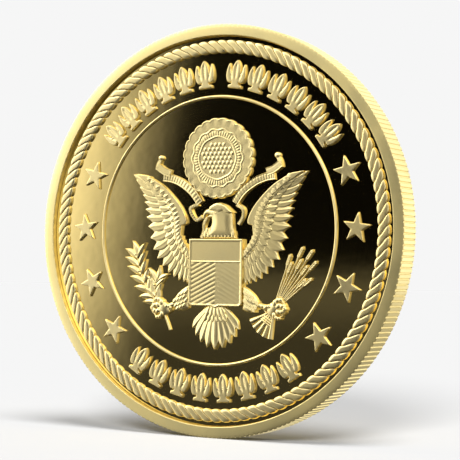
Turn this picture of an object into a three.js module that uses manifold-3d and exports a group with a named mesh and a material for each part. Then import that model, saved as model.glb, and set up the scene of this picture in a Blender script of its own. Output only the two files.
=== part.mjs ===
// A 40 mm challenge coin, built up as a medal is: a reeded edge ring holds a core disc between two
// polished face plates, and the frosted devices are separate pieces soldered onto the plates.
//
// Millimetres. The coin stands on its edge: +Z is up, the obverse faces -Y and the origin is the
// coin's centre. Each face is drawn flat, with x to the right, y up and z out of the face.
import * as THREE from "three";
import { mergeVertices } from "three/addons/utils/BufferGeometryUtils.js";
import Module from "manifold-3d";

// ---- Driving dimensions ----
const COIN_RADIUS = 20;
const COIN_THICKNESS = 2.8;
const RIM_WIDTH = 1.1; // flat rim, from the coin's edge to the recess
const FIELD_DEPTH = 0.55; // from the rim's flat down to the polished field
const PLATE_THICKNESS = 0.3;
const LEDGE_WIDTH = 0.7; // inner ledge of the ring that both plates seat on
const SEAT_FILM = 0.02; // solder film between two faces that seat on each other
const FIT_CLEARANCE = 0.03; // round the plates and the core, in the ring
const PIECE_GAP = 0.08; // between neighbouring devices on the field

const REED_COUNT = 240;
const REED_DEPTH = 0.12;
const REED_LAND_SHARE = 0.64; // of the pitch; the rest is the groove

const ROPE_GAP = 0.32; // from the recess wall to the rope
const ROPE_WIDTH = 1.5;
const ROPE_HEIGHT = 0.4;
const LINE_RADIUS = 13; // thin ring between the legend band and the centre
const LINE_WIDTH = 0.3;
const LINE_HEIGHT = 0.2;
const ROUND_STEPS = 72; // sides of every turned piece

const DEVICE_HEIGHT = 0.32; // stars and legend ornaments
const STAR_RADIUS = 1.45;
const STAR_LEAN = 10; // degrees each star is turned away from pointing straight out
const STAR_WAIST = 0.4; // inner corner's share of the star's radius
const STARS_A_SIDE = 4;
const STAR_SPACING = 20.6; // degrees
const STAR_FIRST = 21.2; // degrees above the horizontal
const ORNAMENT_HEIGHT = 2.7; // along the radius
const ORNAMENT_WIDTH = 2.1;
const TOP_ORNAMENTS = 6; // in each of the two upper groups
const TOP_PITCH = 9.1; // degrees
const TOP_BREAK = 4; // degrees between the two groups
const TOP_BREAK_AT = 88.5; // degrees
const BOTTOM_ORNAMENTS = 8;
const BOTTOM_PITCH = 9.4; // degrees

const WING_HEIGHT = 0.4;
const HEAD_HEIGHT = 0.48;
const SHIELD_HEIGHT = 0.46;
const LEG_HEIGHT = 0.44;
const TAIL_HEIGHT = 0.36;
const MEDALLION_HEIGHT = 0.36;
const RIBBON_HEIGHT = 0.24;
const SPRIG_HEIGHT = 0.22;

const SHIELD_HALF_WIDTH = 2.95;
const SHIELD_TOP = -0.85;
const SHIELD_BOTTOM = -7.3;
const MEDALLION_RADIUS = 3.9;
const MEDALLION_CENTRE_Y = 7;
const MEDALLION_LOBES = 24;
const FEATHERS_A_WING = 17;
const TAIL_FEATHERS = 9;
const LEAF_LENGTH = 1.65; // of the sprig's leaves
const LEAF_WIDTH = 0.64;
const DEVICE_SHIFT = 0.3; // of the whole centre device, to the right

const WREATH_RADIUS = 9.2;
const WREATH_LEAF = 2.6;
const REVERSE_STAR_RADIUS = 5.2;

// ---- What follows from them ----
const RIM_Z = COIN_THICKNESS / 2;
const FIELD_Z = RIM_Z - FIELD_DEPTH;
const DEVICE_Z = FIELD_Z + SEAT_FILM;
const LEDGE_Z = FIELD_Z - PLATE_THICKNESS - SEAT_FILM;
const RECESS_RADIUS = COIN_RADIUS - RIM_WIDTH;
const BORE_RADIUS = RECESS_RADIUS - LEDGE_WIDTH;
const PLATE_RADIUS = RECESS_RADIUS - FIT_CLEARANCE;
const ROPE_OUTER = RECESS_RADIUS - ROPE_GAP;
const ROPE_INNER = ROPE_OUTER - ROPE_WIDTH;
const LEGEND_RADIUS = (ROPE_INNER + LINE_RADIUS + LINE_WIDTH / 2) / 2;

const wasm = await Module();
wasm.setup();

// ---- Materials ----
const metal = (color, roughness) => new THREE.MeshStandardMaterial({ color, roughness, metalness: 1 });
const satinGold = metal(0xe3c878, 0.32);
const polishedGold = metal(0xcfae5a, 0.05);
const frostedGold = metal(0xd9c27c, 0.5);
const coreBrass = metal(0xb5985a, 0.4);

// ---- Solids ----
// A closed three.js geometry as a manifold-3d solid, and the way back.
function solidOf(geometry) {
  const bare = geometry.index ? geometry.toNonIndexed() : geometry.clone();
  bare.deleteAttribute("normal");
  bare.deleteAttribute("uv");
  const merged = mergeVertices(bare, 1e-4);
  return new wasm.Manifold(
    new wasm.Mesh({
      numProp: 3,
      vertProperties: merged.attributes.position.array,
      triVerts: new Uint32Array(merged.index.array),
    }),
  );
}

function geometryOf(solid) {
  const { numProp, numVert, vertProperties, triVerts } = solid.getMesh();
  const positions = new Float32Array(numVert * 3);
  for (let i = 0; i < numVert; i++) {
    positions.set(vertProperties.subarray(i * numProp, i * numProp + 3), i * 3);
  }
  const geometry = new THREE.BufferGeometry();
  geometry.setAttribute("position", new THREE.BufferAttribute(positions, 3));
  geometry.setIndex(new THREE.BufferAttribute(triVerts, 1));
  geometry.computeVertexNormals();
  return geometry;
}

const joined = (solids) => solids.reduce((a, b) => a.add(b));

// A flat outline raised from z to z + height.
function slab(shape, height, z = DEVICE_Z) {
  const options = { depth: height, bevelEnabled: false, curveSegments: 4 };
  return new THREE.ExtrudeGeometry(shape, options).translate(0, 0, z);
}

// A profile of [radius, z] points turned about the face's own axis.
function turned(profile, steps = ROUND_STEPS) {
  const points = profile.map(([r, z]) => new THREE.Vector2(r, z));
  return new THREE.LatheGeometry(points, steps).rotateX(Math.PI / 2);
}

function disc(radius, low, high) {
  return turned([[0, low], [radius, low], [radius, high], [0, high]]);
}

// A closed band between two radii whose sides lean in by draft.
function band(inner, outer, height, draft) {
  const top = DEVICE_Z + height;
  return turned([
    [inner, DEVICE_Z],
    [outer, DEVICE_Z],
    [outer - draft, top],
    [inner + draft, top],
    [inner, DEVICE_Z],
  ]);
}

const at = (x, y) => new THREE.Vector2(x, y);
const polar = (radius, degrees) => {
  const angle = THREE.MathUtils.degToRad(degrees);
  return at(radius * Math.cos(angle), radius * Math.sin(angle));
};
const curveThrough = (points) => new THREE.SplineCurve(points.map(([x, y]) => at(x, y)));

// A strip of even or tapering width along a curve.
function strip(points, startWidth, endWidth = startWidth, steps = 8) {
  const curve = curveThrough(points);
  const left = [];
  const right = [];
  for (let i = 0; i <= steps; i++) {
    const t = i / steps;
    const middle = curve.getPoint(t);
    const along = curve.getTangent(t);
    const half = (startWidth + (endWidth - startWidth) * t) / 2;
    left.push(at(middle.x - along.y * half, middle.y + along.x * half));
    right.unshift(at(middle.x + along.y * half, middle.y - along.x * half));
  }
  return new THREE.Shape([...right, ...left]);
}

// A pointed leaf, feather or ear from its foot at (x, y).
function leaf(x, y, degrees, length, width) {
  const along = polar(1, degrees);
  const place = (u, v) => at(x + along.x * u - along.y * v, y + along.y * u + along.x * v);
  const side = [0.12, 0.4, 0.7].map((u) => [u * length, (width / 2) * Math.sin(Math.PI * u ** 0.8)]);
  const lower = side.map(([u, v]) => place(u, -v));
  const upper = side.map(([u, v]) => place(u, v)).reverse();
  return new THREE.Shape([place(0, 0), ...lower, place(length, 0), ...upper]);
}

function oval(x, y, halfWidth, halfHeight, degrees = 0, steps = 16) {
  const turn = THREE.MathUtils.degToRad(degrees);
  const shape = new THREE.Shape();
  shape.absellipse(x, y, halfWidth, halfHeight, 0, 2 * Math.PI, false, turn);
  return new THREE.Shape(shape.getPoints(steps).slice(0, -1));
}

// ---- The coin's body ----
function edgeRing() {
  const pitch = 360 / REED_COUNT;
  const corners = [];
  for (let i = 0; i < REED_COUNT; i++) {
    const start = (i - REED_LAND_SHARE / 2) * pitch;
    const landEnd = start + REED_LAND_SHARE * pitch;
    corners.push(polar(COIN_RADIUS, start), polar(COIN_RADIUS, landEnd));
    corners.push(polar(COIN_RADIUS - REED_DEPTH, (landEnd + start + pitch) / 2));
  }
  const blank = solidOf(slab(new THREE.Shape(corners), COIN_THICKNESS, -RIM_Z));
  const beyond = RIM_Z + 1;
  const ledge = LEDGE_Z;
  const hollow = turned([
    [0, -beyond],
    [RECESS_RADIUS, -beyond],
    [RECESS_RADIUS, -ledge],
    [BORE_RADIUS, -ledge],
    [BORE_RADIUS, ledge],
    [RECESS_RADIUS, ledge],
    [RECESS_RADIUS, beyond],
    [0, beyond],
  ]);
  return geometryOf(blank.subtract(solidOf(hollow)));
}

const coreDisc = () => disc(BORE_RADIUS - FIT_CLEARANCE, -LEDGE_Z, LEDGE_Z);
const facePlate = () => disc(PLATE_RADIUS, FIELD_Z - PLATE_THICKNESS, FIELD_Z);
const ropeBorder = () => band(ROPE_INNER, ROPE_OUTER, ROPE_HEIGHT, ROPE_HEIGHT / 2);
const ringLine = () => {
  const half = LINE_WIDTH / 2;
  return band(LINE_RADIUS - half, LINE_RADIUS + half, LINE_HEIGHT, LINE_WIDTH / 6);
};

// ---- Stars and the legend band's ornaments ----
function starShape(radius) {
  const corners = [];
  for (let i = 0; i < 10; i++) {
    corners.push(polar(i % 2 ? radius * STAR_WAIST : radius, 90 + i * 36));
  }
  return new THREE.Shape(corners);
}

// An upright palmette: a pointed middle leaf between two curling side leaves, on a small foot.
function palmetteShape() {
  const h = ORNAMENT_HEIGHT;
  const w = ORNAMENT_WIDTH / 2;
  const rightSide = [
    [0.62 * w, 0],
    [0.62 * w, 0.09 * h],
    [0.26 * w, 0.15 * h],
    [0.26 * w, 0.24 * h],
    [0.72 * w, 0.21 * h],
    [0.98 * w, 0.4 * h],
    [w, 0.63 * h],
    [0.8 * w, 0.86 * h],
    [0.67 * w, 0.64 * h],
    [0.5 * w, 0.5 * h],
    [0.47 * w, 0.7 * h],
    [0.28 * w, 0.88 * h],
  ].map(([x, y]) => at(x, y - h / 2));
  const leftSide = rightSide.map((p) => at(-p.x, p.y)).reverse();
  return new THREE.Shape([...rightSide, at(0, h / 2), ...leftSide]);
}

// ---- The centre device ----
// The bird's left wing as a viewer sees it; the right one is its mirror image.
const WING_TIPS = [
  [-9.7, 5.6],
  [-8.5, 3.4],
  [-8, 1],
  [-7, -2.4],
  [-5, -4.5],
  [-SHIELD_HALF_WIDTH - 0.35, -5.15],
];
const LEADING_EDGE = [[-3.95, 0.5], [-3.4, 0.75], [-3.75, 1.8], [-4.7, 3.05], [-6.25, 4.45], [-8.1, 5.45]];

function wingShape() {
  const inner = -(SHIELD_HALF_WIDTH + PIECE_GAP);
  const tips = curveThrough(WING_TIPS);
  const root = at(-4.2, 0.2);
  const outline = [at(inner, -4.9), at(inner, -2.1), at(inner - 0.72, -1.5), at(inner - 1.02, -0.4)];
  outline.push(...curveThrough(LEADING_EDGE).getPoints(10));
  for (let i = 0; i < FEATHERS_A_WING; i++) {
    const tip = tips.getPoint(i / (FEATHERS_A_WING - 1));
    outline.push(tip);
    if (i < FEATHERS_A_WING - 1) {
      const notch = tips.getPoint((i + 0.6) / (FEATHERS_A_WING - 1));
      outline.push(notch.lerp(root, i === 0 ? 0.08 : 0.1));
    }
  }
  return new THREE.Shape(outline.reverse());
}

function headShape() {
  const foot = SHIELD_TOP + PIECE_GAP;
  const shape = new THREE.Shape([at(-1.55, foot), at(2.15, foot)]);
  shape.splineThru([at(1.85, 0.3), at(1.78, 1.2), at(1.65, 1.8), at(1, 2.4), at(0.1, 2.65), at(-0.7, 2.3)]);
  shape.splineThru([at(-1.2, 1.95), at(-1.52, 1.55), at(-1.5, 1.15)]);
  shape.splineThru([at(-1.15, 1.3), at(-0.75, 1.1), at(-0.62, 0.6), at(-0.95, 0), at(-1.55, foot)]);
  return shape;
}

function shieldShape() {
  const w = SHIELD_HALF_WIDTH;
  const corner = 0.4;
  const shape = new THREE.Shape();
  shape.moveTo(-w, SHIELD_TOP);
  shape.lineTo(-w, SHIELD_BOTTOM + corner);
  shape.quadraticCurveTo(-w, SHIELD_BOTTOM, -w + corner, SHIELD_BOTTOM);
  shape.lineTo(-0.45, SHIELD_BOTTOM);
  shape.lineTo(0, SHIELD_BOTTOM - 0.2);
  shape.lineTo(0.45, SHIELD_BOTTOM);
  shape.lineTo(w - corner, SHIELD_BOTTOM);
  shape.quadraticCurveTo(w, SHIELD_BOTTOM, w, SHIELD_BOTTOM + corner);
  shape.lineTo(w, SHIELD_TOP);
  return shape;
}

// Fanned feathers below the shield.
const TAIL_ROOT = at(0, -6.4);

function tailShape() {
  const top = SHIELD_BOTTOM - 0.2 - PIECE_GAP;
  const outline = [at(1.45, top), at(-1.45, top)];
  const reach = (degrees) => 5.1 - 1.1 * Math.abs(degrees / 40) ** 1.5;
  for (let i = 0; i < TAIL_FEATHERS; i++) {
    const lean = -40 + (80 * i) / (TAIL_FEATHERS - 1);
    outline.push(polar(reach(lean), 270 + lean).add(TAIL_ROOT));
    if (i < TAIL_FEATHERS - 1) {
      const between = lean + 40 / (TAIL_FEATHERS - 1);
      outline.push(polar(reach(between) - 0.55, 270 + between).add(TAIL_ROOT));
    }
  }
  return new THREE.Shape(outline);
}

function medallionShape() {
  const outline = [];
  const pitch = 360 / MEDALLION_LOBES;
  for (let i = 0; i < MEDALLION_LOBES; i++) {
    for (const [turn, inset] of [[0, 0.16], [0.3, 0.02], [0.7, 0.02]]) {
      outline.push(polar(MEDALLION_RADIUS - inset, (i + turn) * pitch));
    }
  }
  return new THREE.Shape(outline.map((p) => p.add(at(0, MEDALLION_CENTRE_Y))));
}

// A blank ribbon: a curving band, its turned-back end with a curl, and a thin loose tail.
function ribbon(side) {
  const facing = (points) => points.map(([x, y]) => [side * x, y]);
  const tail = side < 0
    ? [[2.15, 2.55], [3, 2.1], [2.4, 1.05], [1.72, 1.35]]
    : [[2.15, 2.5], [2.85, 2.05], [2.8, 1.3], [2.35, 0.6]];
  const flats = [
    strip(facing([[1.95, 2.65], [2.8, 3.75], [4.05, 4.65], [5.2, 5.1], [6.2, 5.25]]), 0.78),
    strip(facing([[5.35, 5.6], [6.1, 5.85], [6.85, 6.35]]), 0.7),
    strip(facing([[6.85, 6], [6.75, 6.6], [6.5, 7.1]]), 0.5, 0.3),
    strip(facing(tail), 0.32, 0.28, 12),
    oval(side * 6.5, 7.15, 0.3, 0.26, 0, 10),
  ];
  return geometryOf(joined(flats.map((flat) => solidOf(slab(flat, RIBBON_HEIGHT)))));
}

// A branch of a sprig: its stem, with leaves in pairs over the stem's leafy share, and one at its end.
function branch(stem, stemWidth, firstLeaf, pairs, grow) {
  const curve = curveThrough(stem);
  const flats = [strip(stem, stemWidth + 2 * grow, 0.18 + 2 * grow, 10)];
  for (let i = 0; i < pairs; i++) {
    const t = firstLeaf + ((0.97 - firstLeaf) * i) / (pairs - 1);
    const foot = curve.getPoint(t);
    const heading = THREE.MathUtils.radToDeg(curve.getTangent(t).angle());
    for (const lean of [-44, 44]) {
      flats.push(leaf(foot.x, foot.y, heading + lean, LEAF_LENGTH + grow, LEAF_WIDTH + 2 * grow));
    }
  }
  const tip = curve.getPoint(0.97);
  const heading = THREE.MathUtils.radToDeg(curve.getTangent(1).angle());
  flats.push(leaf(tip.x, tip.y, heading, LEAF_LENGTH + grow, LEAF_WIDTH + 2 * grow));
  return flats;
}

// A leafy sprig of two branches; grow widens it all, for the room that a foot leaves around it.
function sprig(grow = 0) {
  const main = [[-5.15, -9.75], [-5.7, -8.5], [-6.6, -7.2], [-7.8, -5.9], [-8.7, -4.2], [-9.15, -2.6]];
  const side = [[-6.3, -7.6], [-6.75, -6.8], [-7, -5.9], [-6.85, -5.1]];
  const flats = [...branch(main, 0.3, 0.4, 7, grow), ...branch(side, 0.24, 0.45, 3, grow)];
  return joined(flats.map((flat) => solidOf(slab(flat, SPRIG_HEIGHT + grow, DEVICE_Z - grow))));
}

// A tied sheaf: stalks that fan up into ears, and their cut ends below the tie.
const SHEAF_TIE = [6.35, -7.55];

function sheaf(grow = 0) {
  const [x, y] = SHEAF_TIE;
  const stalks = 9;
  const flats = [oval(x, y, 0.5 + grow, 0.62 + grow, -35, 10)];
  for (let i = 0; i < stalks; i++) {
    const share = i / (stalks - 1);
    const degrees = 71 - 32 * share;
    const length = 5.75 - 7 * (share - 0.45) ** 2 - (i % 2 ? 1.3 : 0);
    const foot = at(x + 0.3 * (share - 0.5), y);
    const end = polar(length, degrees).add(foot);
    flats.push(strip([[foot.x, foot.y], [end.x, end.y]], 0.18 + 2 * grow, 0.14 + 2 * grow, 1));
    const ear = polar(length - 0.3, degrees).add(foot);
    flats.push(leaf(ear.x, ear.y, degrees, 1.4 + grow, 0.46 + 2 * grow));
  }
  const butts = [205, 219, 233, 247, 261];
  for (const degrees of butts) {
    const end = polar(2.75, degrees).add(at(x, y));
    flats.push(strip([[x, y], [end.x, end.y]], 0.2 + 2 * grow, 0.52 + 2 * grow, 1));
  }
  return joined(flats.map((flat) => solidOf(slab(flat, SPRIG_HEIGHT + grow, DEVICE_Z - grow))));
}

// A thigh, shank and closed foot, with room for what the foot holds.
function leg(side, footX, footY, held) {
  const hip = side * (SHIELD_HALF_WIDTH + PIECE_GAP);
  const thigh = [[0, -5.35], [0.55, -5.6], [1.3, -6.2], [1.72, -6.9], [1.4, -7.55], [0.7, -7.8], [0, -7.55]];
  const shank = strip([[hip + side * 1.3, -7.05], [footX, footY + 0.15]], 0.5, 0.46, 2);
  const flats = [
    new THREE.Shape(thigh.map(([x, y]) => at(hip + side * x, y))),
    shank,
    oval(footX, footY, 1.05, 0.85, side * 55, 14),
  ];
  const whole = joined(flats.map((flat) => solidOf(slab(flat, LEG_HEIGHT))));
  return geometryOf(whole.subtract(held));
}

// ---- The reverse's wreath ----
function wreathBranch(side) {
  const pairs = 8;
  const spine = [];
  const flats = [];
  for (let i = 0; i <= pairs; i++) {
    const degrees = 270 + side * (8 + (i / pairs) * 132);
    const foot = polar(WREATH_RADIUS, degrees);
    spine.push([foot.x, foot.y]);
    const heading = degrees + side * 90;
    if (i === pairs) {
      const end = polar(-0.3, heading).add(foot);
      flats.push(leaf(end.x, end.y, heading, WREATH_LEAF, WREATH_LEAF * 0.34));
    } else if (i > 0) {
      flats.push(leaf(foot.x, foot.y, heading - 34, WREATH_LEAF, WREATH_LEAF * 0.34));
      flats.push(leaf(foot.x, foot.y, heading + 34, WREATH_LEAF, WREATH_LEAF * 0.34));
    }
  }
  flats.push(strip(spine, 0.4, 0.24, 16));
  return geometryOf(joined(flats.map((flat) => solidOf(slab(flat, DEVICE_HEIGHT)))));
}

// ---- Assembly ----
function place(group, name, geometry, material, spin) {
  const mesh = new THREE.Mesh(geometry, material);
  mesh.name = name;
  if (spin) {
    const where = polar(spin.radius, spin.degrees);
    mesh.position.set(where.x, where.y, 0);
    mesh.rotation.z = THREE.MathUtils.degToRad(spin.turn);
  }
  group.add(mesh);
}

const numbered = (name, i) => `${name}_${String(i).padStart(2, "0")}`;

const coin = new THREE.Group();
const obverse = new THREE.Group();
const reverse = new THREE.Group();
reverse.rotation.y = Math.PI;
coin.add(obverse, reverse);
coin.rotation.x = Math.PI / 2;

place(coin, "edge_ring", edgeRing(), satinGold);
place(coin, "core_disc", coreDisc(), coreBrass);
for (const [face, group] of [["obverse", obverse], ["reverse", reverse]]) {
  place(group, `${face}_plate`, facePlate(), polishedGold);
  place(group, `${face}_rope_border`, ropeBorder(), frostedGold);
  place(group, `${face}_ring_line`, ringLine(), frostedGold);
}

const star = slab(starShape(STAR_RADIUS), DEVICE_HEIGHT);
for (let i = 0; i < 2 * STARS_A_SIDE; i++) {
  const onRight = i >= STARS_A_SIDE;
  const above = STAR_FIRST - (i % STARS_A_SIDE) * STAR_SPACING;
  const degrees = onRight ? above : 180 - above;
  place(obverse, numbered("star", i + 1), star, frostedGold, {
    radius: LEGEND_RADIUS,
    degrees,
    turn: degrees - 90 + (onRight ? STAR_LEAN : -STAR_LEAN),
  });
}

const palmette = slab(palmetteShape(), DEVICE_HEIGHT);
for (let i = 0; i < 2 * TOP_ORNAMENTS; i++) {
  const fromMiddle = i - TOP_ORNAMENTS + 0.5;
  const degrees = TOP_BREAK_AT - fromMiddle * TOP_PITCH - (Math.sign(fromMiddle) * TOP_BREAK) / 2;
  place(obverse, numbered("top_palmette", i + 1), palmette, frostedGold, {
    radius: LEGEND_RADIUS,
    degrees,
    turn: degrees - 90,
  });
}
for (let i = 0; i < BOTTOM_ORNAMENTS; i++) {
  const degrees = 270 + (i - (BOTTOM_ORNAMENTS - 1) / 2) * BOTTOM_PITCH;
  place(obverse, numbered("bottom_palmette", i + 1), palmette, frostedGold, {
    radius: LEGEND_RADIUS,
    degrees,
    turn: degrees + 90,
  });
}

const centre = new THREE.Group();
centre.position.x = DEVICE_SHIFT;
obverse.add(centre);
const leftWing = slab(wingShape(), WING_HEIGHT);
place(centre, "wing_left", leftWing, frostedGold);
place(centre, "wing_right", geometryOf(solidOf(leftWing).mirror([1, 0, 0])), frostedGold);
place(centre, "head_and_neck", slab(headShape(), HEAD_HEIGHT), frostedGold);
place(centre, "shield", slab(shieldShape(), SHIELD_HEIGHT), frostedGold);
place(centre, "tail", slab(tailShape(), TAIL_HEIGHT), frostedGold);
place(centre, "medallion", slab(medallionShape(), MEDALLION_HEIGHT), frostedGold);
place(centre, "ribbon_left", ribbon(-1), frostedGold);
place(centre, "ribbon_right", ribbon(1), frostedGold);
place(centre, "leaf_sprig", geometryOf(sprig()), frostedGold);
place(centre, "grain_sheaf", geometryOf(sheaf()), frostedGold);
place(centre, "leg_left", leg(-1, -5.95, -7.75, sprig(PIECE_GAP)), frostedGold);
place(centre, "leg_right", leg(1, SHEAF_TIE[0], SHEAF_TIE[1], sheaf(PIECE_GAP)), frostedGold);

place(reverse, "reverse_star", slab(starShape(REVERSE_STAR_RADIUS), DEVICE_HEIGHT), frostedGold);
place(reverse, "wreath_left", wreathBranch(-1), frostedGold);
place(reverse, "wreath_right", wreathBranch(1), frostedGold);

export default coin;
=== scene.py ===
import math
import random

import bpy
import numpy as np
from mathutils import Matrix, Vector
from mathutils.geometry import delaunay_2d_cdt


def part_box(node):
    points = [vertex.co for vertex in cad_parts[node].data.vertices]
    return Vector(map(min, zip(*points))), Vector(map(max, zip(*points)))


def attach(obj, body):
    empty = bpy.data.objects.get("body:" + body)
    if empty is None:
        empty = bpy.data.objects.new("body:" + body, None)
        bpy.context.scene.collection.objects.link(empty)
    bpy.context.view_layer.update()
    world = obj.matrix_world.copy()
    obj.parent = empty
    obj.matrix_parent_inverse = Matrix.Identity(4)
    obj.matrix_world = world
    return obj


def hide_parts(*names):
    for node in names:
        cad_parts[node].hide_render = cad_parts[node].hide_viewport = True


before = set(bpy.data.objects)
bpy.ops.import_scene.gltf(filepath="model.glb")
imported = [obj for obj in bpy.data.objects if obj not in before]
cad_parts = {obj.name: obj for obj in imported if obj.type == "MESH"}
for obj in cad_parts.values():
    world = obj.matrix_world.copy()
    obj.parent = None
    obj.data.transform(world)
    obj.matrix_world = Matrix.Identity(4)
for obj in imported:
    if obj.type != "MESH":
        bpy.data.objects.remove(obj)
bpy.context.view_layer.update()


# ======== Core disc ========
# The middle of the coin: a plain disc of rolled brass, closed in by the ring and both plates. It is
# never seen, so its solid stays as it is and only takes the rolled finish.
def open_group(name, inputs, outputs):
    """An empty node group with named sockets, and its two ends."""
    group = bpy.data.node_groups.new(name, "ShaderNodeTree")
    for label, kind, value in inputs:
        socket = group.interface.new_socket(label, in_out="INPUT", socket_type=kind)
        socket.default_value = value
    for label, kind in outputs:
        group.interface.new_socket(label, in_out="OUTPUT", socket_type=kind)
    return group, group.nodes.new("NodeGroupInput"), group.nodes.new("NodeGroupOutput")


def feed(tree, node, **values):
    """Sets a node's inputs by name, or by number as i0, and links those that are given a socket."""
    for key, value in values.items():
        numbered = key[0] == "i" and key[1:].isdigit()
        socket = node.inputs[int(key[1:]) if numbered else key.replace("_", " ")]
        if isinstance(value, bpy.types.NodeSocket):
            tree.links.new(value, socket)
        else:
            socket.default_value = value


def add(tree, kind, settings=(), **values):
    """A new node with its settings and its inputs."""
    node = tree.nodes.new(kind)
    for key, value in dict(settings).items():
        setattr(node, key, value)
    feed(tree, node, **values)
    return node


def worked_out(tree, operation, *values):
    """The result of one operation on numbers and sockets."""
    numbered = {f"i{place}": value for place, value in enumerate(values)}
    return add(tree, "ShaderNodeMath", {"operation": operation}, **numbered).outputs[0]


def mapped(tree, value, start=0.0, end=1.0, low=0.0, high=1.0, kind="LINEAR"):
    """A value that runs from start to end, brought to run from low to high."""
    limits = {"i1": start, "i2": end, "i3": low, "i4": high}
    return add(tree, "ShaderNodeMapRange", {"interpolation_type": kind}, Value=value, **limits).outputs[0]


# Plating is never one even gold: it drifts between two tones in soft clouds, with fine mottling.
plating, ins, outs = open_group(
    "plating_tone",
    [
        ("Light tone", "NodeSocketColor", (0.9, 0.7, 0.35, 1)),
        ("Deep tone", "NodeSocketColor", (0.8, 0.6, 0.25, 1)),
        ("Cloud size mm", "NodeSocketFloat", 6.0),
    ],
    [("Color", "NodeSocketColor"), ("Clouds", "NodeSocketFloat")],
)
where = add(plating, "ShaderNodeTexCoord").outputs["Object"]
per_metre = worked_out(plating, "DIVIDE", 1000.0, ins.outputs["Cloud size mm"])
clouds = add(plating, "ShaderNodeTexNoise", Vector=where, Scale=per_metre, Detail=3.0, Roughness=0.5)
mottle = add(plating, "ShaderNodeTexNoise", Vector=where, Scale=2600.0, Detail=2.0, Roughness=0.6)
both = worked_out(plating, "MULTIPLY_ADD", mottle.outputs[0], 0.35, clouds.outputs[0])
spread = mapped(plating, both, 0.45, 0.9, kind="SMOOTHSTEP")
light, deep = ins.outputs["Light tone"], ins.outputs["Deep tone"]
blend = add(plating, "ShaderNodeMix", {"data_type": "RGBA"}, i0=spread, i6=light, i7=deep)
feed(plating, outs, Color=blend.outputs[2], Clouds=spread)


def metal(name, light, deep, cloud_size):
    """A metal with plating tones on its colour, ready for its own roughness and bump."""
    material = bpy.data.materials.new(name)
    material.use_nodes = True
    tree = material.node_tree
    shader = tree.nodes["Principled BSDF"]
    inputs = {"Light_tone": light, "Deep_tone": deep, "Cloud_size_mm": cloud_size}
    tones = add(tree, "ShaderNodeGroup", {"node_tree": plating}, **inputs)
    feed(tree, shader, Metallic=1.0, Base_Color=tones.outputs["Color"])
    return material, tree, shader, tones


rolled_brass, tree, shader, tones = metal("rolled_brass", (0.72, 0.55, 0.27, 1), (0.6, 0.44, 0.2, 1), 4.0)
where = add(tree, "ShaderNodeTexCoord").outputs["Object"]
stretched = add(tree, "ShaderNodeMapping", Vector=where, Scale=(300.0, 300.0, 9000.0))
streaks = add(tree, "ShaderNodeTexNoise", Vector=stretched.outputs[0], Scale=1.0, Detail=4.0)
dulled = mapped(tree, streaks.outputs[0], low=0.28, high=0.5)
ridges = add(tree, "ShaderNodeBump", Strength=0.3, Distance=0.00001, Height=streaks.outputs[0])
feed(tree, shader, Roughness=dulled, Normal=ridges.outputs[0])
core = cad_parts["core_disc"]
core.data.materials.clear()
core.data.materials.append(rolled_brass)


# ======== Edge ring ========
# The collar-struck ring round the coin: two flat satin rims with softened corners, and an edge of
# fine upright reeds. It is turned and milled from brass and plated.
MM = 0.001
ring_low, ring_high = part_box("edge_ring")
plate_low, plate_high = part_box("obverse_plate")
COIN_RADIUS = (ring_high.x - ring_low.x) / 2 / MM
RIM = ring_high.y / MM
FIELD = -plate_low.y / MM
RECESS_RADIUS = (plate_high.x - plate_low.x) / 2 / MM + 0.03
BORE_RADIUS = RECESS_RADIUS - 0.7
REEDS = 240
REED_DEPTH = 0.11
GROOVE_HALF = 0.2  # share of a reed's pitch
REED_STEPS = (0.0, 0.24, 0.3, 0.34, 0.42, 0.5, 0.58, 0.66, 0.7, 0.76)  # shares of a reed's pitch
INNER_CORNER = [(0, -0.1), (0, -0.07), (0.02, -0.02), (0.05, 0), (0.08, 0)]  # out and up from the recess
OUTER_CORNER = [  # out and up from the edge, and share of the reed's depth
    (-0.09, -0.028, 0), (-0.055, -0.034, 0.2), (-0.02, -0.05, 0.8), (0, -0.08, 1), (0, -0.14, 1),
]


def ring_row(radius, angle, height):
    """A ring of points; radius, angle and height may be one value or one for each point."""
    x, y = radius * np.cos(angle), radius * np.sin(angle)
    return np.column_stack([x, y, np.broadcast_to(height, x.shape)])


def ring_faces(rows, count, closed=False):
    """The faces between rings of points, and with closed from the last ring to the first."""
    faces = []
    for i in range(rows if closed else rows - 1):
        here, there = i * count, (i + 1) % rows * count
        for j in range(count):
            k = (j + 1) % count
            faces.append((here + j, here + k, there + k, there + j))
    return faces


def rings_shell(rows):
    """A closed shell from rings of points, each joined to the next and the last to the first."""
    return np.vstack(rows), ring_faces(len(rows), len(rows[0]), closed=True)


def fitted(name, shell, finish, node, side="obverse", crease=38):
    """Sets a shell on its face of the coin as a finished piece, in the place of its CAD node."""
    points, faces = shell
    x, y, z = (np.asarray(points) * MM).T
    places = np.column_stack([x, -z, y] if side == "obverse" else [-x, z, y])
    mesh = bpy.data.meshes.new(name)
    mesh.from_pydata(places.tolist(), [], [list(face) for face in faces])
    mesh.validate()
    mesh.shade_smooth()
    mesh.set_sharp_from_angle(angle=math.radians(crease))
    mesh.materials.append(finish)
    piece = bpy.data.objects.new(name, mesh)
    bpy.context.scene.collection.objects.link(piece)
    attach(piece, "root")
    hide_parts(node)


def reed_depth(share):
    """How deep the groove is at a share of the pitch, from the middle of one land to the next."""
    return REED_DEPTH * max(0.0, 1 - (abs(share - 0.5) / GROOVE_HALF) ** 2) ** 0.7


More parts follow.
